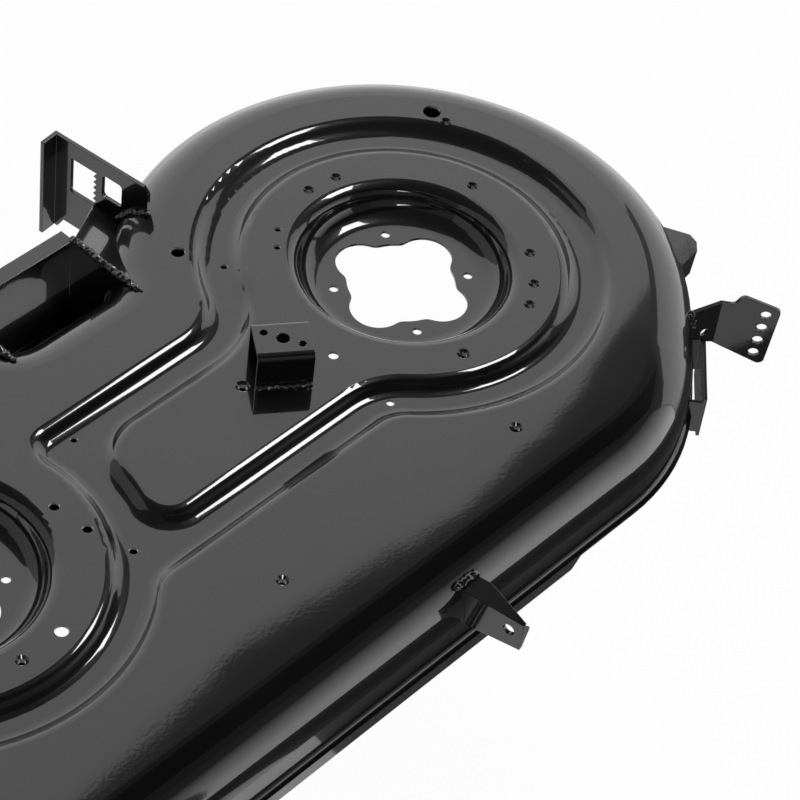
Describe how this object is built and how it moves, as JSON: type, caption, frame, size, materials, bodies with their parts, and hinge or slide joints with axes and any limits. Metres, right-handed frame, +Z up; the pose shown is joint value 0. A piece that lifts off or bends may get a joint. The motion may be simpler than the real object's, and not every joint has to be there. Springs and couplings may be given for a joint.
{
  "type": "lawn mower deck",
  "caption": "Stamped steel mower deck with spindle wells, a pressed channel, welded lift and wheel brackets, a rear skirt and an open side for the cut grass.",
  "frame": {"origin": "centre of the left spindle's bolt circle, on top of the well floor", "axes": "+X runs along the deck to its closed end, +Y to the rear, +Z up"},
  "size_m": [1.096, 0.6695, 0.141],
  "materials": {
    "gloss_black_paint": "high gloss baked paint"
  },
  "bodies": {
    "root": {"closed_end_guard": "gloss_black_paint", "deck_shell": "gloss_black_paint", "front_bar": "gloss_black_paint", "front_bracket": "gloss_black_paint", "front_bracket_weld": "gloss_black_paint", "front_gauge_bracket": "gloss_black_paint", "front_gauge_bracket_weld": "gloss_black_paint", "front_hinge_lug": "gloss_black_paint", "hinge_rod": "gloss_black_paint", "left_hanger_web": "gloss_black_paint", "left_hanger_weld": "gloss_black_paint", "left_rear_hanger": "gloss_black_paint", "left_skirt_weld": "gloss_black_paint", "rear_gauge_bracket": "gloss_black_paint", "rear_hinge_lug": "gloss_black_paint", "rear_skirt": "gloss_black_paint", "right_hanger_web": "gloss_black_paint", "right_hanger_weld": "gloss_black_paint", "right_rear_hanger": "gloss_black_paint", "right_skirt_weld": "gloss_black_paint", "top_bracket": "gloss_black_paint", "top_bracket_weld": "gloss_black_paint"}
  },
  "joints": []
}
